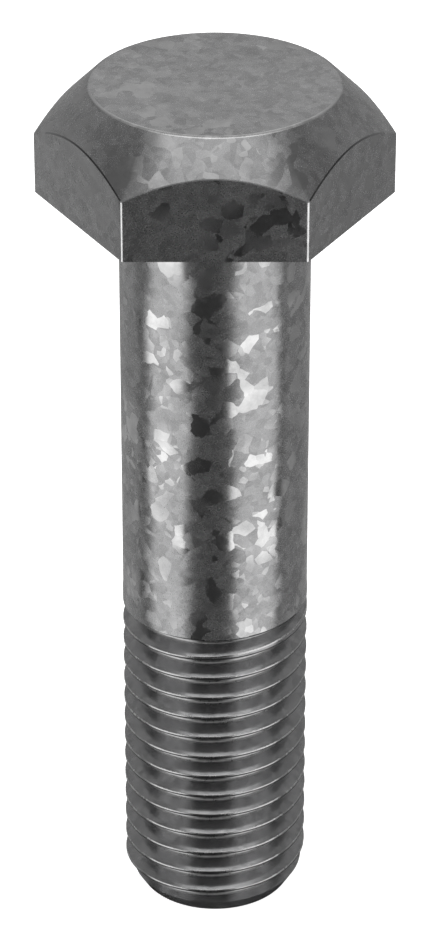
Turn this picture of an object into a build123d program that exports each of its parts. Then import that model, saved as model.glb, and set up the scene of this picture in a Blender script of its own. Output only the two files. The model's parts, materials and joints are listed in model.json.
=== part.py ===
from build123d import *
from OCP.BRepBuilderAPI import BRepBuilderAPI_NurbsConvert
import math
import os

# Galvanised heavy hex bolt, 1-1/8 - 7 UNC x 4-3/4 in. Millimetres, +Z towards the head.
# The origin is the centre of the bearing plane under the head; the point end is at -Z.

# --- driving dimensions -------------------------------------------------------------------
SHANK_DIA = 28.575            # nominal size, 1-1/8 in
THREAD_DIA = 28.70            # over the thread's crests, where the zinc lies a little heavier
THREAD_ZONE_Z = (-66.3, -67.0)   # the short cone between the shank and the thread's larger diameter
UNDER_HEAD_LENGTH = 120.65    # 4-3/4 in, bearing plane to point end
ACROSS_FLATS = 46.0375        # 1-13/16 in
HEX_HEIGHT = 17.4625          # 11/16 in, lower corner to head top
WASHER_FACE_DIA = 43.75       # about 0.95 of the width across flats
WASHER_FACE_HEIGHT = 0.4      # 1/64 in
HEAD_TOP_DIA = 36.95          # flat circle inside the head's top chamfer
HEAD_CHAMFER_DEG = 45.0       # slope of the head's top chamfer below the horizontal
FILLET_R = 1.6                # under the head, 1/16 in
THREADS_PER_INCH = 7.0
THREAD_DEPTH_PER_PITCH = 0.6134
ROOT_FLAT_PER_PITCH = 1.0 / 6.0
FLANK_DEG = 30.0              # half of the 60 degree thread angle
GROOVE_START_Z = -124.48      # height of the groove's centre where it begins, at the front (-Y)
GROOVE_FULL_TURNS = 14.93     # turns of full depth
GROOVE_FADE_TURNS = 0.65      # turns over which the groove runs out to nothing
POINT_DIA = 23.9              # flat end face
POINT_LENGTH = 4.0            # height of the tapered point
COATING = 0.10                # thickness of the zinc, measured square to the surface

# --- values that follow -------------------------------------------------------------------
SHANK_R = SHANK_DIA / 2
THREAD_R = THREAD_DIA / 2
PITCH = 25.4 / THREADS_PER_INCH
GROOVE_DEPTH = THREAD_DEPTH_PER_PITCH * PITCH
ROOT_HALF = ROOT_FLAT_PER_PITCH * PITCH / 2
FLANK_TAN = math.tan(math.radians(FLANK_DEG))
FLANK_COS = math.cos(math.radians(FLANK_DEG))
POINT_SLOPE = (THREAD_R - POINT_DIA / 2) / POINT_LENGTH
HEAD_TOP_Z = WASHER_FACE_HEIGHT + HEX_HEIGHT
STEPS_PER_TURN = 16
CUTTER_REACH = 0.2            # how far the groove cutter stands out of the crests
ZINC_CUTS_Z = (-0.05, -FILLET_R - 0.2)   # planes between the zinc's head, fillet and shank lengths
OUT = "parts"


def turned_body(skin):
    """Washer face, fillet, shank and point as one turned solid; skin moves every surface outwards."""
    r = SHANK_R + skin
    thread_r = THREAD_R + skin
    bearing = -skin
    fillet = FILLET_R - skin
    end = -UNDER_HEAD_LENGTH - skin
    shift = skin * (math.sqrt(1 + POINT_SLOPE ** 2) - 1 * POINT_SLOPE)
    point_r = POINT_DIA / 2 + shift
    cone_top = end + (thread_r - point_r) / POINT_SLOPE
    shank_end, thread_top = THREAD_ZONE_Z
    washer_r = WASHER_FACE_DIA / 2 + skin
    cover = WASHER_FACE_HEIGHT + 2.0
    with BuildPart() as body:
        with BuildSketch(Plane.XZ):
            with BuildLine():
                Polyline((r + fillet, bearing), (washer_r, bearing), (washer_r, cover), (0, cover),
                         (0, end), (point_r, end), (thread_r, cone_top), (thread_r, thread_top),
                         (r, shank_end), (r, bearing - fillet))
                RadiusArc((r, bearing - fillet), (r + fillet, bearing), fillet)
            make_face()
        revolve(axis=Axis.Z)
    return body.part


def hex_prism(skin):
    """The six-sided head with its corners cut by the top chamfer cone. Flats face +Y and -Y."""
    low = WASHER_FACE_HEIGHT - skin
    high = HEAD_TOP_Z + skin
    with BuildPart() as prism:
        with BuildSketch(Plane.XY.offset(low)):
            RegularPolygon(ACROSS_FLATS / 2 + skin, 6, major_radius=False, rotation=0)
        extrude(amount=high - low)
    slope = math.tan(math.radians(HEAD_CHAMFER_DEG))
    top_r = HEAD_TOP_DIA / 2 + skin * (math.sqrt(1 + 1 / slope ** 2) - 1 / slope)
    below, above = high - low + 1.0, 2.0
    cone = Pos(0, 0, high + (above - below) / 2) * Cone(
        top_r + below / slope, top_r - above / slope, above + below)
    # as a spline surface, so that its curves on the flats aren't exact hyperbolas, which few kernels measure well
    spline_cone = Solid(BRepBuilderAPI_NurbsConvert(cone.wrapped, True).Shape())
    return prism.part & spline_cone


def groove_rails(t, skin):
    """Four corner points of the groove cutter at t turns from its start."""
    s = 1.0
    if t > GROOVE_FULL_TURNS:
        s = max(0.02, 1.0 - (t - GROOVE_FULL_TURNS) / GROOVE_FADE_TURNS)
    angle = 2 * math.pi * t - math.pi / 2
    centre = GROOVE_START_Z + PITCH * t
    depth = GROOVE_DEPTH * s
    inner_r = THREAD_R + skin - depth
    outer_r = THREAD_R + skin + CUTTER_REACH
    inner_w = ROOT_HALF * s - skin * (1 / FLANK_COS - FLANK_TAN)
    outer_w = inner_w + (outer_r - inner_r) * FLANK_TAN
    corners = ((inner_r, -inner_w), (inner_r, inner_w), (outer_r, outer_w), (outer_r, -outer_w))
    return [Vector(r * math.cos(angle), r * math.sin(angle), centre + dz) for r, dz in corners]


def groove_piece(t0, t1, skin):
    """One closed length of the groove cutter, ruled between four spline rails."""
    steps = max(4, round(STEPS_PER_TURN * (t1 - t0)))
    stations = [groove_rails(t0 + (t1 - t0) * i / steps, skin) for i in range(steps + 1)]
    spread = [i / steps for i in range(steps + 1)]
    rails = [Edge.make_spline([st[k] for st in stations], parameters=spread) for k in range(4)]
    faces = [Face.make_surface_from_curves(rails[k], rails[(k + 1) % 4]) for k in range(4)]
    for end in (stations[0], stations[-1]):
        faces.append(Face(Wire.make_polygon(end, close=True)))
    return Solid(Shell(faces))


def groove_pieces(skin):
    """The whole groove as turn-long pieces, full depth first and then the run-out."""
    cuts = [float(n) for n in range(int(GROOVE_FULL_TURNS) + 1)]
    cuts += [GROOVE_FULL_TURNS, GROOVE_FULL_TURNS + GROOVE_FADE_TURNS]
    return [groove_piece(a, b, skin) for a, b in zip(cuts, cuts[1:])]


def bolt_body(skin):
    """The complete bolt form with every surface moved outwards by skin (inwards if negative)."""
    plain = turned_body(skin) + hex_prism(skin)
    threaded = plain.cut(*groove_pieces(skin))
    return threaded.solids()[0]


def steel_core():
    """The one-piece forging: head, shank and thread, as it is before galvanising."""
    return bolt_body(-COATING)


def zinc_coating(core):
    """The continuous zinc layer that covers the forging all over.

    It is kept as three lengths that meet face to face, over the head, the fillet and the shank, so that
    each length is simple enough for one convex collision piece.
    """
    layer = bolt_body(0.0) - core
    upper, lower = ZINC_CUTS_Z
    top, bottom = HEAD_TOP_Z + 5.0, -UNDER_HEAD_LENGTH - 5.0
    lengths = []
    for high, low in ((top, upper), (upper, lower), (lower, bottom)):
        zone = Pos(0, 0, (high + low) / 2) * Box(80, 80, high - low)
        lengths += (layer & zone).solids()
    return Compound(lengths)


def main():
    os.makedirs(OUT, exist_ok=True)
    core = steel_core()
    coating = zinc_coating(core)
    for name, shape in (("steel_core", core), ("zinc_coating", coating)):
        shape.label = name
        export_step(shape, f"{OUT}/{name}.step")
        box = shape.bounding_box()
        print(name, shape.is_valid, [round(one.volume, 1) for one in shape.solids()], box.min, box.max)


main()
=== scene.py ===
import json
import math

import bpy
from bpy.props import FloatProperty, FloatVectorProperty, IntProperty, PointerProperty
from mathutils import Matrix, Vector

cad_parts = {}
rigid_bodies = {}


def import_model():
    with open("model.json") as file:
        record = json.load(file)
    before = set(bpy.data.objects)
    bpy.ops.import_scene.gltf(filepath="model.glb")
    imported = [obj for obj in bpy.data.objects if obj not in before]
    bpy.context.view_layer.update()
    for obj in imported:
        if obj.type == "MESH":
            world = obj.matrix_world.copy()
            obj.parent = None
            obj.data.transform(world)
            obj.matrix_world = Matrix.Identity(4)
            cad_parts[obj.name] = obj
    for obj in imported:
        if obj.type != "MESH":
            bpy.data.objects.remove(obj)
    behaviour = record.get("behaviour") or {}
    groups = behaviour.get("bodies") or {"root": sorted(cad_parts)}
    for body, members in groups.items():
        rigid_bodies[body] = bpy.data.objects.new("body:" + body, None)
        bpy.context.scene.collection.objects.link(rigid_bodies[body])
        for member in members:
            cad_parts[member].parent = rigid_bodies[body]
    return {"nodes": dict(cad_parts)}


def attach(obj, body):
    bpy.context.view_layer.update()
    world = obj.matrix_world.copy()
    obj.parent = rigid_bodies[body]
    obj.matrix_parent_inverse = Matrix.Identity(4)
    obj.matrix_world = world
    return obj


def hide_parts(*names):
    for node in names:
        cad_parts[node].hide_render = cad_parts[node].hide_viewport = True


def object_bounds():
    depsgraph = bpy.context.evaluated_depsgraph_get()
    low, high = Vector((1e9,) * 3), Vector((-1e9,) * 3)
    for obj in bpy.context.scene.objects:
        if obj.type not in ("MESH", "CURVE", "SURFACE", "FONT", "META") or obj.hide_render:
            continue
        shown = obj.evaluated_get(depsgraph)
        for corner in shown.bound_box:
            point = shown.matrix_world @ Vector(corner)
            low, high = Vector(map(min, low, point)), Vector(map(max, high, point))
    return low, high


bl_info = {
    "name": "Galvanised Hex Bolt",
    "version": (1, 0, 0),
    "blender": (4, 5, 0),
    "location": "3D View > Sidebar > Hex Bolt",
    "description": "Builds the zinc skin, steel and studio of a heavy hex bolt",
    "category": "Object",
}

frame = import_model()
CAD_LOW, CAD_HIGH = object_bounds()
BODY = "bolt"
FLOOR_Z = CAD_LOW.z
HEAD_TOP_Z = CAD_HIGH.z
CORNER_RADIUS = CAD_HIGH.x


class BoltSizes(bpy.types.PropertyGroup):
    """Sizes of the bolt's visible skin."""

    shank_radius: FloatProperty(
        name="Shank Radius", description="Radius of the plain shank",
        default=0.0142875, unit="LENGTH")
    thread_radius: FloatProperty(
        name="Thread Radius", description="Radius over the thread's crests",
        default=0.01435, unit="LENGTH")
    shank_end: FloatProperty(
        name="Shank End", description="Height at which the plain shank ends",
        default=-0.0663, unit="LENGTH")
    thread_top: FloatProperty(
        name="Thread Top", description="Height from which the thread's larger radius begins",
        default=-0.067, unit="LENGTH")
    pitch: FloatProperty(
        name="Thread Pitch", description="Height of one turn of the thread",
        default=0.0254 / 7, unit="LENGTH")
    groove_depth: FloatProperty(
        name="Groove Depth", description="Depth of the thread below its crests",
        default=0.6134 * 0.0254 / 7, unit="LENGTH")
    root_half: FloatProperty(
        name="Root Half Width", description="Half the width of the flat at the thread's root",
        default=0.0254 / 84, unit="LENGTH")
    root_radius: FloatProperty(
        name="Root Radius", description="Rounding at the bottom of the groove",
        default=0.00045, unit="LENGTH")
    crest_radius: FloatProperty(
        name="Crest Radius", description="Rounding of the crests' two edges",
        default=0.00016, unit="LENGTH")
    groove_start: FloatProperty(
        name="Groove Start",
        description="Height of the groove's centre where its first turn begins",
        default=-0.12448, unit="LENGTH")
    full_turns: FloatProperty(
        name="Full Turns", description="Turns of the groove at full depth", default=14.93)
    fade_turns: FloatProperty(
        name="Run-out", description="Turns over which the groove fades out", default=0.65)
    point_radius: FloatProperty(
        name="Point Radius", description="Radius of the flat end face",
        default=0.01195, unit="LENGTH")
    point_length: FloatProperty(
        name="Point Length", description="Height of the tapered point",
        default=0.004, unit="LENGTH")
    hex_low: FloatProperty(
        name="Hex Underside", description="Height of the hexagon's lower plane",
        default=0.0004, unit="LENGTH")
    top_radius: FloatProperty(
        name="Top Circle Radius", description="Radius of the flat circle on the head",
        default=0.018475, unit="LENGTH")
    washer_radius: FloatProperty(
        name="Washer Face Radius", description="Radius of the raised bearing face",
        default=0.021875, unit="LENGTH")
    fillet_radius: FloatProperty(
        name="Fillet Radius", description="Rounding between shank and bearing face",
        default=0.0016, unit="LENGTH")
    joint_height: FloatProperty(
        name="Skin Joint", description="Height at which the head's skin meets the shank's",
        default=-0.0018, unit="LENGTH")
    skin: FloatProperty(
        name="Skin Thickness", description="Thickness of the zinc",
        default=0.0001, unit="LENGTH")


class ZincFinish(bpy.types.PropertyGroup):
    """Colours of the dipped zinc and of the steel under it."""

    dull: FloatVectorProperty(
        name="Dull Zinc", description="Colour of the weathered ground between the crystals",
        subtype="COLOR", size=3, min=0, max=1, default=(0.31, 0.31, 0.313))
    crystal: FloatVectorProperty(
        name="Crystal", description="Colour of the bright zinc crystals",
        subtype="COLOR", size=3, min=0, max=1, default=(0.68, 0.68, 0.68))
    head_crystal: FloatVectorProperty(
        name="Head Crystal", description="Colour of the duller crystals on the head and thread",
        subtype="COLOR", size=3, min=0, max=1, default=(0.43, 0.43, 0.43))
    thread: FloatVectorProperty(
        name="Thread Zinc", description="Colour of the spun zinc on the thread",
        subtype="COLOR", size=3, min=0, max=1, default=(0.285, 0.285, 0.288))
    steel: FloatVectorProperty(
        name="Forged Steel", description="Colour of the steel under the zinc",
        subtype="COLOR", size=3, min=0, max=1, default=(0.16, 0.155, 0.15))
    spangle: FloatProperty(
        name="Spangle Size", description="Size of one zinc crystal",
        default=0.0024, unit="LENGTH")


class StudioLook(bpy.types.PropertyGroup):
    """Camera, floor and lights."""

    lens: FloatProperty(
        name="Lens", description="Focal length in millimetres", default=152.9)
    camera_distance: FloatProperty(
        name="Camera Distance", description="Distance of the camera in front of the bolt's axis",
        default=0.5336, unit="LENGTH")
    camera_height: FloatProperty(
        name="Camera Height", description="Height of the camera above the bearing plane",
        default=0.2574, unit="LENGTH")
    camera_pitch: FloatProperty(
        name="Camera Pitch", description="Angle by which the camera looks down",
        default=math.radians(29.72), subtype="ANGLE")
    room_light: FloatProperty(
        name="Room Light", description="Even light from all round", default=0.36)
    floor_glow: FloatProperty(
        name="Floor Glow", description="Light given by the lit floor itself", default=0.75)
    sides: IntProperty(
        name="Sweep Sides", description="Number of sides of the round studio floor", default=96)


# --- small modelling helpers ---------------------------------------------------------------


def deselect():
    """Object mode with nothing selected."""
    if bpy.context.object and bpy.context.object.mode != "OBJECT":
        bpy.ops.object.mode_set(mode="OBJECT")
    for o in bpy.context.view_layer.objects:
        o.select_set(False)


def take(obj):
    """Makes obj the only selected object and the active one."""
    deselect()
    obj.select_set(True)
    bpy.context.view_layer.objects.active = obj
    return obj


def edit(obj, mode="FACE"):
    """Opens obj in edit mode with nothing selected."""
    take(obj)
    bpy.ops.object.mode_set(mode="EDIT")
    bpy.ops.mesh.select_mode(type=mode)
    bpy.ops.mesh.select_all(action="DESELECT")


def leave():
    bpy.ops.object.mode_set(mode="OBJECT")


def pick_faces(obj, test):
    """Selects the faces that pass test(centre, normal) and leaves obj in edit mode."""
    edit(obj, "FACE")
    leave()
    found = 0
    for face in obj.data.polygons:
        face.select = bool(test(face.center, face.normal))
        found += face.select
    bpy.ops.object.mode_set(mode="EDIT")
    return found


def pick_verts(obj, test):
    """Selects the vertices that pass test(place) and leaves obj in edit mode."""
    edit(obj, "VERT")
    leave()
    found = 0
    for vertex in obj.data.vertices:
        vertex.select = bool(test(vertex.co))
        found += vertex.select
    bpy.ops.object.mode_set(mode="EDIT")
    return found


def pick_edges(obj, test):
    """Selects the edges that pass test(end, end) and leaves obj in edit mode."""
    edit(obj, "EDGE")
    leave()
    verts, found = obj.data.vertices, 0
    for edge in obj.data.edges:
        a, b = (verts[i].co for i in edge.vertices)
        edge.select = bool(test(a, b))
        found += edge.select
    bpy.ops.object.mode_set(mode="EDIT")
    return found


def flat_radius(point):
    return math.hypot(point[0], point[1])


def apply(obj, kind, **values):
    """Adds a modifier, sets it and applies it."""
    take(obj)
    modifier = obj.modifiers.new(kind.title(), kind)
    for key, value in values.items():
        setattr(modifier, key, value)
    bpy.ops.object.modifier_apply(modifier=modifier.name)


def combine(obj, tool, operation):
    """Joins, cuts or keeps what two closed solids share, then drops the tool."""
    apply(obj, "BOOLEAN", operation=operation, solver="EXACT", object=tool)
    bpy.data.objects.remove(tool, do_unlink=True)


def clean(obj, distance=2e-6):
    """Merges doubles and turns every face outwards."""
    edit(obj)
    bpy.ops.mesh.select_all(action="SELECT")
    bpy.ops.mesh.remove_doubles(threshold=distance)
    bpy.ops.mesh.normals_make_consistent(inside=False)
    leave()


def named(name):
    """Renames the active object and its mesh."""
    obj = bpy.context.object
    obj.name = obj.data.name = name
    return obj


def settle(obj):
    """Puts the object's place into its mesh."""
    take(obj)
    bpy.ops.object.transform_apply(location=True, rotation=True, scale=True)


def give_skin(obj, thickness):
    """Turns the outer surface into a thin closed layer that lies inside it."""
    apply(obj, "SOLIDIFY", thickness=thickness, offset=-1.0, use_rim=True)


def smooth(obj, degrees):
    take(obj)
    bpy.ops.object.shade_smooth_by_angle(angle=math.radians(degrees))


def dress(obj, *materials):
    obj.data.materials.clear()
    for material in materials:
        obj.data.materials.append(material)


# --- the thread ---------------------------------------------------------------------------

FLANK_TAN = math.tan(math.radians(30))
STEPS_PER_TURN = 120
TURNS_MADE = 17
ARC_DEGREES = (0, 20, 40, 60)
FLANK_SHARES = (0.33, 0.67)
END_SPARE = 0.0006


def lip_height(sizes):
    """Height of the groove's sharp upper lip above the groove's centre."""
    return sizes.root_half + sizes.groove_depth * FLANK_TAN


def turn_share(place):
    """Share of a turn from the front (-Y), counter-clockwise seen from above."""
    return (math.atan2(place[1], place[0]) / (2 * math.pi) + 0.25) % 1.0


def groove_profile(sizes):
    """Height from the groove's centre and depth below the crests, for one pitch, bottom to top."""
    lip = lip_height(sizes)
    root_z = sizes.root_half - sizes.root_radius * FLANK_TAN
    crest_z = lip + sizes.crest_radius * FLANK_TAN
    half = []
    for degrees in ARC_DEGREES:
        a = math.radians(degrees)
        half.append((root_z + sizes.root_radius * math.sin(a),
                     sizes.groove_depth - sizes.root_radius * (1 - math.cos(a))))
    arc = []
    for degrees in reversed(ARC_DEGREES):
        a = math.radians(degrees)
        arc.append((crest_z - sizes.crest_radius * math.sin(a),
                    sizes.crest_radius * (1 - math.cos(a))))
    foot, lip_point = half[-1], arc[0]
    for share in FLANK_SHARES:
        half.append((foot[0] + (lip_point[0] - foot[0]) * share,
                     foot[1] + (lip_point[1] - foot[1]) * share))
    half += arc
    half.append((sizes.pitch / 2, 0.0))
    lower = [(-z, d) for z, d in reversed(half)]
    return lower + [(0.0, sizes.groove_depth)] + half


def thread_turns(sizes):
    """The helical surface: the profile drawn as a line and screwed up round the axis."""
    deselect()
    profile = groove_profile(sizes)
    place = [Vector((0, -(sizes.thread_radius - d), sizes.groove_start + z)) for z, d in profile]
    bpy.ops.mesh.primitive_plane_add(size=0.001, location=(0, 0, 0))
    line = named("shank_zinc")
    edit(line, "VERT")
    bpy.ops.mesh.select_all(action="SELECT")
    bpy.ops.mesh.merge(type="CENTER")
    bpy.ops.transform.translate(value=place[0])
    for before, after in zip(place, place[1:]):
        bpy.ops.mesh.extrude_region_move(TRANSFORM_OT_translate={"value": after - before})
    leave()
    apply(line, "SCREW", axis="Z", angle=2 * math.pi, steps=STEPS_PER_TURN,
          render_steps=STEPS_PER_TURN, screw_offset=sizes.pitch, iterations=TURNS_MADE,
          use_merge_vertices=False, use_smooth_shade=True)
    clean(line)
    return line


def run_out(obj, sizes):
    """Shrinks the groove to nothing over its last part of a turn."""
    lip = lip_height(sizes)
    half_pitch = sizes.pitch / 2
    for vertex in obj.data.vertices:
        x, y, z = vertex.co
        share = turn_share(vertex.co)
        turn = share + round((z - sizes.groove_start) / sizes.pitch - share)
        if turn <= sizes.full_turns:
            continue
        size = max(0.0, 1.0 - (turn - sizes.full_turns) / sizes.fade_turns)
        width = max(size, 0.25)
        centre = sizes.groove_start + sizes.pitch * turn
        up = z - centre
        side = abs(up)
        if side <= lip:
            side *= width
        else:
            side = lip * width + (side - lip) / (half_pitch - lip) * (half_pitch - lip * width)
        radius = math.hypot(x, y)
        kept = sizes.thread_radius - (sizes.thread_radius - radius) * size
        vertex.co = (x * kept / radius, y * kept / radius, centre + math.copysign(side, up))


def cut_level(obj, height, keep_below):
    """Cuts the solid at a height and closes the cut."""
    edit(obj)
    bpy.ops.mesh.select_all(action="SELECT")
    bpy.ops.mesh.bisect(plane_co=(0, 0, height), plane_no=(0, 0, 1), use_fill=True,
                        clear_inner=not keep_below, clear_outer=keep_below, threshold=1e-7)
    leave()


def point_form(sizes):
    """A wide rod with the tapered point at its lower end and a rounded rim."""
    slope = (sizes.thread_radius - sizes.point_radius) / sizes.point_length
    wide = sizes.thread_radius + 0.001
    tall = (wide - sizes.point_radius) / slope
    deselect()
    bpy.ops.mesh.primitive_cone_add(vertices=192, radius1=sizes.point_radius, radius2=wide,
                                    depth=tall, location=(0, 0, FLOOR_Z + tall / 2))
    form = named("point_form")
    settle(form)
    pick_faces(form, lambda c, n: n.z > 0.99)
    bpy.ops.mesh.extrude_region_move(TRANSFORM_OT_translate={"value": (0, 0, 0.06)})
    leave()
    pick_edges(form, lambda a, b: max(a.z, b.z) < FLOOR_Z + 1e-6
               and min(flat_radius(a), flat_radius(b)) > sizes.point_radius * 0.99)
    bpy.ops.mesh.bevel(offset=0.00025, segments=3, affect="EDGES")
    leave()
    return form


def make_shank(sizes):
    """Plain shank, thread and point as one thin layer."""
    shank = thread_turns(sizes)
    run_out(shank, sizes)
    cut_z = sizes.thread_top
    cut_level(shank, cut_z, keep_below=True)
    cut_level(shank, FLOOR_Z - END_SPARE, keep_below=False)
    clean(shank)
    combine(shank, point_form(sizes), "INTERSECT")
    pick_faces(shank, lambda c, n: n.z > 0.99 and c.z > cut_z - 1e-5)
    bpy.ops.mesh.delete(type="FACE")
    leave()
    column = 2 * math.pi / STEPS_PER_TURN
    pick_verts(shank, lambda p: p.z > cut_z - 1e-6 and abs(
        math.atan2(p.y, p.x) / column - round(math.atan2(p.y, p.x) / column)) > 0.004)
    bpy.ops.mesh.dissolve_verts()
    leave()
    ring = pick_edges(shank, lambda a, b: min(a.z, b.z) > cut_z - 1e-6)
    if ring != STEPS_PER_TURN:
        raise RuntimeError("the ring above the thread is not regular")
    shrink = sizes.shank_radius / sizes.thread_radius
    bpy.ops.mesh.extrude_region_move(
        TRANSFORM_OT_translate={"value": (0, 0, sizes.shank_end - cut_z)})
    bpy.ops.transform.resize(value=(shrink, shrink, 1), center_override=(0, 0, sizes.shank_end))
    steps = 16
    rise = (sizes.joint_height - sizes.shank_end) / steps
    for _ in range(steps):
        bpy.ops.mesh.extrude_region_move(TRANSFORM_OT_translate={"value": (0, 0, rise)})
    leave()
    clean(shank)
    return shank


# --- the head -----------------------------------------------------------------------------


def chamfer_cone(sizes):
    """The cone whose surface cuts the hexagon's upper corners, with a rounded upper rim."""
    low = -0.001
    tall = HEAD_TOP_Z - low
    deselect()
    bpy.ops.mesh.primitive_cone_add(vertices=192, radius1=sizes.top_radius + tall,
                                    radius2=sizes.top_radius, depth=tall,
                                    location=(0, 0, low + tall / 2))
    cone = named("chamfer_cone")
    settle(cone)
    pick_edges(cone, lambda a, b: min(a.z, b.z) > HEAD_TOP_Z - 1e-6)
    bpy.ops.mesh.bevel(offset=0.0003, segments=4, affect="EDGES")
    leave()
    return cone


def hex_block(sizes):
    """The hexagonal block, corners towards +X and -X, with its six upright edges rounded."""
    tall = HEAD_TOP_Z + 0.002 - sizes.hex_low
    deselect()
    bpy.ops.mesh.primitive_cylinder_add(vertices=6, radius=CORNER_RADIUS, depth=tall,
                                        location=(0, 0, sizes.hex_low + tall / 2))
    block = named("head_zinc")
    settle(block)
    edit(block)
    bpy.ops.mesh.select_all(action="SELECT")
    bpy.ops.transform.rotate(value=math.radians(30), orient_axis="Z", center_override=(0, 0, 0))
    leave()
    pick_edges(block, lambda a, b: abs(a.z - b.z) > tall / 2)
    bpy.ops.mesh.bevel(offset=0.00026, segments=4, affect="EDGES")
    leave()
    return block


def bearing_turning(sizes):
    """Washer face, fillet and a short length of shank, turned from a ring."""
    fillet, radius = sizes.fillet_radius, sizes.shank_radius
    outline = [(radius, sizes.joint_height), (radius, -fillet)]
    for degrees in (15, 30, 45, 60, 75, 90):
        a = math.radians(degrees)
        outline.append((radius + fillet * (1 - math.cos(a)), -fillet + fillet * math.sin(a)))
    rim = 0.0001
    outline += [(sizes.washer_radius - rim, 0.0), (sizes.washer_radius, rim),
                (sizes.washer_radius, sizes.hex_low + 0.002)]
    deselect()
    bpy.ops.mesh.primitive_circle_add(vertices=192, radius=radius, fill_type="NGON",
                                      location=(0, 0, sizes.joint_height))
    turning = named("bearing_turning")
    settle(turning)
    pick_faces(turning, lambda c, n: True)
    for (r0, z0), (r1, z1) in zip(outline, outline[1:]):
        bpy.ops.mesh.extrude_region_move(TRANSFORM_OT_translate={"value": (0, 0, z1 - z0)})
        if abs(r1 - r0) > 1e-9:
            bpy.ops.transform.resize(value=(r1 / r0, r1 / r0, 1), center_override=(0, 0, z1))
    leave()
    clean(turning)
    return turning


def on_chamfer(point, sizes, slack=2e-5):
    """Is this point on the chamfer cone's surface?"""
    return abs(flat_radius(point) - (sizes.top_radius + HEAD_TOP_Z - point[2])) < slack


def on_flats(point, slack=2e-5):
    """Is this point on the hexagon's upright surface, its rounded edges included?"""
    angle = math.atan2(point[1], point[0]) % (math.pi / 3) - math.pi / 6
    flat = CORNER_RADIUS * math.cos(math.pi / 6)
    reach = flat_radius(point) * math.cos(angle)
    return abs(reach - flat) < slack or abs(angle) > math.radians(29)


def make_head(sizes):
    """Hexagon, chamfer, washer face and fillet as one thin layer."""
    head = hex_block(sizes)
    combine(head, chamfer_cone(sizes), "INTERSECT")
    clean(head)
    arcs = pick_edges(head, lambda a, b: all(
        on_chamfer(p, sizes) and on_flats(p) and p.z < HEAD_TOP_Z - 0.002 for p in (a, b)))
    if not arcs:
        raise RuntimeError("the chamfer's arcs were not found on the head")
    bpy.ops.mesh.bevel(offset=0.00016, segments=3, affect="EDGES")
    leave()
    combine(head, bearing_turning(sizes), "UNION")
    pick_faces(head, lambda c, n: n.z < -0.99 and c.z < sizes.joint_height + 1e-5)
    bpy.ops.mesh.delete(type="FACE")
    leave()
    clean(head)
    return head


# --- finishes -----------------------------------------------------------------------------

MIDDLE_GREY = (0.5, 0.5, 0.5)

# places in the head's list of materials
HEAD_PLAIN, HEAD_RIM, HEAD_UPRIGHT, HEAD_ARC = range(4)
# sideways distances over which the rim's painted highlight fades back to plain zinc
RIM_FADE = (0.009, 0.018)
# sideways distances over which the arcs' painted dark reflection fades back to plain zinc
ARC_FADE = (0.018, 0.0245)

# places in the shank's list of materials
SHANK_PLAIN, THREAD_PLAIN, CREST_UPPER, CREST_LOWER, THREAD_ROOT = range(5)
# CREST_DEPTH and CREST_REACH bound the crest faces that take the painted highlight and the painted
# shadow
CREST_DEPTH = 0.00011
CREST_REACH = 0.00023
# ROOT_DEPTH bounds the root faces that take the painted highlight
ROOT_DEPTH = 0.00025
LIP_SHARE = 0.9
SHALLOW_SHARE = 0.55


class Nodes:
    """A short hand for wiring one material."""

    def __init__(self, name):
        self.material = bpy.data.materials.new(name)
        self.material.use_nodes = True
        self.tree = self.material.node_tree
        self.shader = next(n for n in self.tree.nodes if n.type == "BSDF_PRINCIPLED")

    def wire(self, value, socket):
        if isinstance(value, bpy.types.NodeSocket):
            self.tree.links.new(value, socket)
        else:
            socket.default_value = value

    def add(self, kind, inputs=None, **values):
        node = self.tree.nodes.new(kind)
        for key, value in values.items():
            setattr(node, key, value)
        for key, value in (inputs or {}).items():
            self.wire(value, node.inputs[key])
        return node

    def number(self, operation, a, b=0.0, clamp=False):
        node = self.add("ShaderNodeMath", {0: a, 1: b}, operation=operation, use_clamp=clamp)
        return node.outputs[0]

    def vector(self, operation, a, b=(0, 0, 0), scale=None):
        inputs = {0: a, 1: b}
        if scale is not None:
            inputs["Scale"] = scale
        return self.add("ShaderNodeVectorMath", inputs, operation=operation).outputs[0]

    def step(self, value, low, high, to_low=0.0, to_high=1.0):
        node = self.add("ShaderNodeMapRange", {"Value": value, "From Min": low, "From Max": high,
                                               "To Min": to_low, "To Max": to_high})
        return node.outputs["Result"]

    def blend(self, share, a, b):
        node = self.add("ShaderNodeMix", data_type="RGBA")
        self.wire(share, node.inputs["Factor"])
        self.wire(a, node.inputs["A"])
        self.wire(b, node.inputs["B"])
        return node.outputs["Result"]

    def noise(self, place, scale, detail=2.0, roughness=0.5):
        return self.add("ShaderNodeTexNoise", {"Vector": place, "Scale": scale, "Detail": detail,
                                               "Roughness": roughness})

    def cells(self, place, scale):
        return self.add("ShaderNodeTexVoronoi", {"Vector": place, "Scale": scale}, feature="F1")


def rgba(colour):
    return (colour[0], colour[1], colour[2], 1.0)


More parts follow.
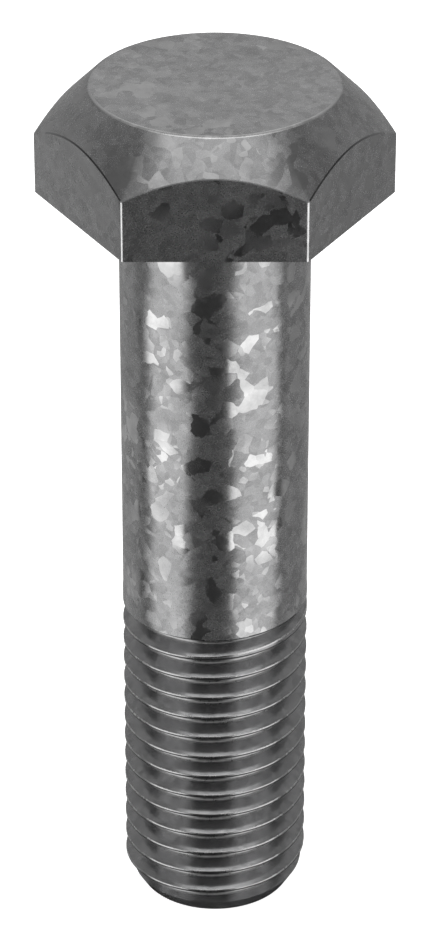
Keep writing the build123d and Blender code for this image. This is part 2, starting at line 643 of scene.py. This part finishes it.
def hot_dip_zinc(name, finish, ground, crystal, crystals=1.0, rough=0.27, tilt=0.08):
    """Dipped zinc: a dull ground with patches of bright, smooth, slightly tilted crystals."""
    n = Nodes(name)
    place = n.add("ShaderNodeTexCoord").outputs["Object"]
    per_metre = 1.0 / finish.spangle
    warp = n.noise(place, per_metre * 0.9, 1.5, 0.5).outputs["Color"]
    ragged = n.vector("SCALE", n.vector("SUBTRACT", warp, MIDDLE_GREY),
                      scale=finish.spangle * 0.6)
    torn = n.vector("ADD", place, ragged)
    large = n.cells(torn, per_metre)
    small = n.cells(torn, per_metre * 2.2)
    chance = n.add("ShaderNodeSeparateColor", {"Color": large.outputs["Color"]})
    fine_chance = n.add("ShaderNodeSeparateColor", {"Color": small.outputs["Color"]})
    drift = n.noise(place, per_metre * 0.2, 2.0).outputs["Fac"]
    clump = n.step(drift, 0.3, 0.7, -0.22, 0.22)
    lucky = n.number("ADD", chance.outputs["Red"], clump)
    fine_lucky = n.number("ADD", fine_chance.outputs["Red"], clump)
    patch = n.number("POWER", n.step(lucky, 0.64, 1.0), 1.4)
    flake = n.number("POWER", n.step(fine_lucky, 0.85, 1.10), 1.2)
    mottle = n.noise(torn, per_metre * 0.8, 4.0, 0.65).outputs["Fac"]
    share = n.number("MULTIPLY", n.step(mottle, 0.3, 0.7, 0.6, 1.1), crystals)
    bright = n.number("MULTIPLY", n.number("MAXIMUM", patch, flake), share, clamp=True)
    tone = n.number("ADD", n.step(fine_chance.outputs["Green"], 0, 1, 0.86, 1.12),
                    n.step(mottle, 0.3, 0.7, -0.10, 0.10))
    dull = n.vector("SCALE", ground[:], scale=tone)
    n.wire(n.blend(bright, dull, rgba(crystal)), n.shader.inputs["Base Color"])
    n.wire(n.step(bright, 0, 0.6, 0.92, 1.0), n.shader.inputs["Metallic"])
    grain = n.noise(place, per_metre * 5.0, 3.0).outputs["Fac"]
    soft = n.number("ADD", n.step(bright, 0, 1, rough, 0.16), n.step(grain, 0.3, 0.7, -0.03, 0.03))
    n.wire(soft, n.shader.inputs["Roughness"])
    lean = n.vector("SCALE", n.vector("SUBTRACT", large.outputs["Color"], MIDDLE_GREY),
                    scale=tilt)
    normal = n.add("ShaderNodeNewGeometry").outputs["Normal"]
    leaning = n.vector("NORMALIZE", n.vector("ADD", normal, lean))
    swell = n.noise(place, per_metre * 0.35, 2.0).outputs["Fac"]
    height = n.number("ADD", swell, n.number("MULTIPLY", grain, 0.04))
    bump = n.add("ShaderNodeBump", {"Height": height, "Strength": 0.25, "Distance": 0.0001,
                                    "Normal": leaning})
    n.wire(bump.outputs["Normal"], n.shader.inputs["Normal"])
    return n.material


def nicked_painted_edge(name, colour, rough, fade=None, fade_to=None):
    """Zinc on a rounded edge in one flat colour that paints light or shade onto it, with darker
    random nicks of wear; the painted colour may fade away from the middle of the front.
    """
    n = Nodes(name)
    place = n.add("ShaderNodeTexCoord").outputs["Object"]
    nicks = n.noise(place, 500.0, 4.0, 0.7).outputs["Fac"]
    # the flat colour is painted light or shade; only the darker nicks are the zinc's own wear
    painted_and_nicked = n.blend(n.step(nicks, 0.35, 0.65), rgba([c * 0.65 for c in colour]), rgba(colour))
    # away from the middle of the front the painted light or shade fades to the given plain colour
    if fade:
        across = n.number("ABSOLUTE", n.add("ShaderNodeSeparateXYZ", {0: place}).outputs["X"])
        painted_and_nicked = n.blend(n.step(across, *fade), painted_and_nicked, rgba(fade_to))
    n.wire(painted_and_nicked, n.shader.inputs["Base Color"])
    n.shader.inputs["Metallic"].default_value = 1.0
    n.wire(n.step(nicks, 0.3, 0.7, rough, rough + 0.12), n.shader.inputs["Roughness"])
    return n.material


def forged_steel(finish):
    """Quenched steel under the zinc: dark scale with rubbed patches and fine pits."""
    n = Nodes("forged_steel")
    place = n.add("ShaderNodeTexCoord").outputs["Object"]
    scale = n.noise(place, 260.0, 5.0, 0.62).outputs["Fac"]
    pits = n.cells(place, 1400.0).outputs["Distance"]
    rubbed = n.step(scale, 0.48, 0.62)
    n.wire(n.blend(rubbed, rgba(finish.steel), rgba([min(1, c * 2.3) for c in finish.steel])),
           n.shader.inputs["Base Color"])
    n.shader.inputs["Metallic"].default_value = 1.0
    n.wire(n.step(rubbed, 0, 1, 0.62, 0.38), n.shader.inputs["Roughness"])
    bump = n.add("ShaderNodeBump", {"Height": n.number("ADD", scale, pits), "Strength": 0.35,
                                    "Distance": 0.00005})
    n.wire(bump.outputs["Normal"], n.shader.inputs["Normal"])
    return n.material


def glow_evenly(n, rough, strength):
    """Makes a material without highlights that gives off a little white light of its own."""
    n.shader.inputs["Roughness"].default_value = rough
    n.shader.inputs["Specular IOR Level"].default_value = 0.0
    n.shader.inputs["Emission Color"].default_value = (1, 1, 1, 1)
    n.shader.inputs["Emission Strength"].default_value = strength
    n.material.cycles.emission_sampling = "NONE"


def pale_floor(look):
    """The studio's plain white sweep."""
    n = Nodes("pale_floor")
    place = n.add("ShaderNodeTexCoord").outputs["Object"]
    tone = n.noise(place, 3.0, 2.0).outputs["Fac"]
    n.wire(n.blend(tone, (0.86, 0.86, 0.86, 1), (0.90, 0.90, 0.90, 1)),
           n.shader.inputs["Base Color"])
    glow_evenly(n, 0.9, look.floor_glow)
    return n.material


def dark_card(glow):
    """Card that looks evenly dark in a reflection, whatever light falls on it."""
    n = Nodes("dark_card")
    n.shader.inputs["Base Color"].default_value = (0, 0, 0, 1)
    glow_evenly(n, 1.0, glow)
    return n.material


# --- operators ----------------------------------------------------------------------------


class HEXBOLT_OT_steel(bpy.types.Operator):
    """Gives the forging under the zinc its finish"""

    bl_idname = "hexbolt.steel"
    bl_label = "Finish Steel"

    def execute(self, context):
        core = frame["nodes"]["steel_core"]
        dress(core, forged_steel(context.scene.zinc_finish))
        return {"FINISHED"}


def edge_kind(centre, normal):
    """Place in the head's list of materials for the face with this centre and normal."""
    # the front of the top rim: painted highlight
    if centre.z > HEAD_TOP_Z - 0.0005 and 0.76 < normal.z < 0.995 and centre.y < -0.003:
        return HEAD_RIM
    # the two front upright edges: painted highlight
    if abs(normal.z) < 0.05 and centre.y < -0.0226 and 0.15 < abs(normal.x) < 0.77:
        return HEAD_UPRIGHT
    # the chamfer's arcs at the sides: painted dark reflection
    if centre.z > 0.008 and 0.06 < normal.z < 0.68 and 0.0134 < abs(centre.x) < ARC_FADE[1]:
        return HEAD_ARC
    return HEAD_PLAIN


class HEXBOLT_OT_head(bpy.types.Operator):
    """Builds the zinc over the head, washer face and fillet"""

    bl_idname = "hexbolt.head"
    bl_label = "Build Head"

    def execute(self, context):
        sizes, finish = context.scene.bolt_sizes, context.scene.zinc_finish
        head = make_head(sizes)
        give_skin(head, sizes.skin)
        smooth(head, 24)
        # colour of the painted dark reflection on the chamfer's arcs
        dark = [c * 0.25 for c in finish.dull]
        dress(head,
              hot_dip_zinc("head_spangle", finish, finish.dull, finish.head_crystal, crystals=0.75),
              # painted highlight along the front of the top rim, fading towards the sides
              nicked_painted_edge("rim_painted_highlight", (0.84, 0.84, 0.84), 0.22, RIM_FADE, finish.dull),
              # painted highlight on the two front upright edges
              nicked_painted_edge("upright_painted_highlight", (0.86, 0.86, 0.86), 0.22),
              nicked_painted_edge("arc_painted_dark_reflection", dark, 0.35, ARC_FADE, finish.dull))
        for face in head.data.polygons:
            face.material_index = edge_kind(face.center, face.normal)
        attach(head, BODY)
        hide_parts("zinc_coating")
        return {"FINISHED"}


def thread_kind(place, normal, sizes):
    """Place in the shank's list of materials for the face with this centre and normal."""
    share = turn_share(place)
    lip = lip_height(sizes)
    turn = (place[2] - sizes.groove_start) / sizes.pitch - share
    # height above the nearest groove's centre, in turns, and that groove's own turn
    side = turn - round(turn)
    groove = share + round(turn)
    end = sizes.full_turns + sizes.fade_turns
    depth = sizes.thread_radius - flat_radius(place)
    on_crest = depth < CREST_DEPTH
    shallow = groove > sizes.full_turns + sizes.fade_turns * SHALLOW_SHARE
    if groove > end or groove + 1 > end and side * sizes.pitch > lip * LIP_SHARE:
        # the lower edge of the last crest: painted shadow
        return CREST_LOWER if on_crest and normal[2] < -0.1 and not shallow else SHANK_PLAIN
    if shallow:
        return THREAD_PLAIN
    size = min(1.0, (end - groove) / sizes.fade_turns)
    if on_crest:
        if abs(side) * sizes.pitch >= lip * size + CREST_REACH:
            return THREAD_PLAIN
        # a crest's upper edge: painted highlight; its lower edge: painted shadow
        return CREST_LOWER if side > 0 else CREST_UPPER
    # the groove's root: painted highlight
    if depth > sizes.groove_depth - ROOT_DEPTH and place[2] > FLOOR_Z + sizes.point_length / 2:
        return THREAD_ROOT
    return THREAD_PLAIN


class HEXBOLT_OT_shank(bpy.types.Operator):
    """Builds the zinc over the shank, thread and point"""

    bl_idname = "hexbolt.shank"
    bl_label = "Build Shank"

    def execute(self, context):
        sizes, finish = context.scene.bolt_sizes, context.scene.zinc_finish
        shank = make_shank(sizes)
        give_skin(shank, sizes.skin)
        smooth(shank, 28)
        dress(shank,
              hot_dip_zinc("shank_spangle", finish, finish.dull, finish.crystal),
              hot_dip_zinc("thread_spangle", finish, finish.thread, finish.head_crystal,
                           crystals=0.4, rough=0.22, tilt=0.03),
              # painted highlight on the crests' upper edges and painted shadow under them
              nicked_painted_edge("crest_painted_highlight", (0.62, 0.62, 0.62), 0.2),
              nicked_painted_edge("crest_shadow", [c * 0.4 for c in finish.dull], 0.35),
              # painted highlight in the groove's roots
              nicked_painted_edge("root_painted_highlight", (0.55, 0.55, 0.55), 0.24))
        for face in shank.data.polygons:
            face.material_index = thread_kind(face.center, face.normal, sizes)
        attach(shank, BODY)
        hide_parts("zinc_coating")
        return {"FINISHED"}


# --- stage --------------------------------------------------------------------------------

STAGE_CENTRE = Vector((0, 0, -0.05))
# just under the end face, so that the two planes never coincide
FLOOR_GAP = 0.00005
FLOOR_RADIUS = 2.0
FLOOR_BORDER = 0.5
# rise and growth of each step of the sweep round the floor
SWEEP_STEPS = ((0.15, 1.15), (0.45, 1.10), (1.2, 1.03))
# name, azimuth, elevation, distance, width, height and radiance
SOFT_BOXES = (
    ("left_box", -60.5, -22, 0.9, 0.78, 0.9, 1.0),
    ("right_box", 52, -22, 0.9, 0.90, 0.9, 1.0),
    ("top_box", 0, 72, 1.0, 1.0, 0.75, 0.85),
    ("back_box", 180, 34, 1.0, 1.2, 0.5, 0.36),
)
# name, azimuth, elevation, distance, width, height and glow
CARDS = (
    ("front_card", -6.5, -25, 0.62, 0.56, 0.72, 0.035),
    ("left_gap", -96, -28, 0.7, 0.15, 0.6, 0.03),
    ("right_gap", 87, -28, 0.7, 0.14, 0.6, 0.03),
    ("left_flag", -84, 42, 0.8, 0.40, 0.34, 0.20),
    ("right_flag", 84, 42, 0.8, 0.40, 0.34, 0.20),
    ("left_far", -124, -28, 0.8, 0.50, 0.7, 0.40),
    ("right_far", 124, -28, 0.8, 0.50, 0.7, 0.29),
    ("under_card", 0, -90, 0.22, 0.36, 0.36, 0.02),
)


def aim(azimuth, elevation, distance):
    """A place round the bolt. Azimuth 0 is in front (-Y) and positive towards +X, in degrees."""
    a, e = math.radians(azimuth), math.radians(elevation)
    away = Vector((math.sin(a) * math.cos(e), -math.cos(a) * math.cos(e), math.sin(e)))
    return STAGE_CENTRE + away * distance, away


def soft_box(name, azimuth, elevation, distance, width, height, radiance):
    """A soft light of a known brightness, turned to the bolt and unseen by the camera."""
    place, away = aim(azimuth, elevation, distance)
    light = bpy.data.lights.new(name, "AREA")
    light.shape = "RECTANGLE"
    light.size, light.size_y = width, height
    light.energy = radiance * math.pi * width * height
    box = bpy.data.objects.new(name, light)
    bpy.context.scene.collection.objects.link(box)
    box.location = place
    box.rotation_euler = away.to_track_quat("Z", "Y").to_euler()
    box.visible_camera = False


def card(name, azimuth, elevation, distance, width, height, glow):
    """A dark or dim card that only the bolt's reflections see."""
    place, away = aim(azimuth, elevation, distance)
    deselect()
    bpy.ops.mesh.primitive_grid_add(x_subdivisions=4, y_subdivisions=4, size=1)
    flag = named(name)
    flag.scale = (width, height, 1)
    flag.rotation_euler = away.to_track_quat("Z", "Y").to_euler()
    flag.location = place
    settle(flag)
    dress(flag, dark_card(glow))
    flag.visible_camera = flag.visible_diffuse = False


def make_floor(look):
    """A round floor with its edge swept up all round."""
    deselect()
    bpy.ops.mesh.primitive_circle_add(vertices=look.sides, radius=FLOOR_RADIUS, fill_type="NGON",
                                      location=(0, 0, FLOOR_Z - FLOOR_GAP))
    floor = named("studio_floor")
    settle(floor)
    pick_faces(floor, lambda c, n: True)
    bpy.ops.mesh.inset(thickness=FLOOR_BORDER)
    leave()
    pick_edges(floor, lambda a, b: min(flat_radius(a), flat_radius(b)) > FLOOR_RADIUS * 0.95)
    for rise, grow in SWEEP_STEPS:
        bpy.ops.mesh.extrude_region_move(TRANSFORM_OT_translate={"value": (0, 0, rise)})
        bpy.ops.transform.resize(value=(grow, grow, 1))
    leave()
    smooth(floor, 60)
    dress(floor, pale_floor(look))
    floor.visible_glossy = False
    floor.visible_shadow = False


def light_room(scene, look):
    """Even white light from all round."""
    world = bpy.data.worlds.new("studio_room")
    scene.world = world
    world.use_nodes = True
    room = next(n for n in world.node_tree.nodes if n.type == "BACKGROUND")
    room.inputs["Color"].default_value = (1, 1, 1, 1)
    room.inputs["Strength"].default_value = look.room_light


def place_camera(scene, look):
    camera = bpy.data.cameras.new("camera")
    camera.sensor_width = 36.0
    camera.lens = look.lens
    camera.clip_start = 0.01
    viewer = bpy.data.objects.new("camera", camera)
    scene.collection.objects.link(viewer)
    viewer.location = (0.0, -look.camera_distance, look.camera_height)
    viewer.rotation_euler = (math.pi / 2 - look.camera_pitch, 0, 0)
    scene.camera = viewer


class HEXBOLT_OT_stage(bpy.types.Operator):
    """Sets up the floor, the soft lights and the camera"""

    bl_idname = "hexbolt.stage"
    bl_label = "Set Stage"

    def execute(self, context):
        look, scene = context.scene.studio_look, context.scene
        make_floor(look)
        light_room(scene, look)
        for values in SOFT_BOXES:
            soft_box(*values)
        for values in CARDS:
            card(*values)
        place_camera(scene, look)
        scene.view_settings.view_transform = "Standard"
        return {"FINISHED"}


class HEXBOLT_PT_panel(bpy.types.Panel):
    """Steps and sizes of the bolt"""

    bl_idname = "HEXBOLT_PT_panel"
    bl_label = "Hex Bolt"
    bl_space_type = "VIEW_3D"
    bl_region_type = "UI"
    bl_category = "Hex Bolt"

    def draw(self, context):
        column = self.layout.column(align=True)
        for operator in OPERATORS:
            column.operator(operator.bl_idname)
        scene = context.scene
        for group in (scene.bolt_sizes, scene.zinc_finish, scene.studio_look):
            box = self.layout.box()
            for name in group.__annotations__:
                box.prop(group, name)


OPERATORS = (HEXBOLT_OT_steel, HEXBOLT_OT_head, HEXBOLT_OT_shank, HEXBOLT_OT_stage)
GROUPS = (BoltSizes, ZincFinish, StudioLook)


def register():
    for cls in GROUPS + OPERATORS + (HEXBOLT_PT_panel,):
        bpy.utils.register_class(cls)
    bpy.types.Scene.bolt_sizes = PointerProperty(type=BoltSizes)
    bpy.types.Scene.zinc_finish = PointerProperty(type=ZincFinish)
    bpy.types.Scene.studio_look = PointerProperty(type=StudioLook)


def unregister():
    del bpy.types.Scene.studio_look
    del bpy.types.Scene.zinc_finish
    del bpy.types.Scene.bolt_sizes
    for cls in reversed(GROUPS + OPERATORS + (HEXBOLT_PT_panel,)):
        bpy.utils.unregister_class(cls)


def main():
    register()
    bpy.ops.hexbolt.steel()
    bpy.ops.hexbolt.head()
    bpy.ops.hexbolt.shank()
    bpy.ops.hexbolt.stage()


if __name__ == "__main__":
    main()
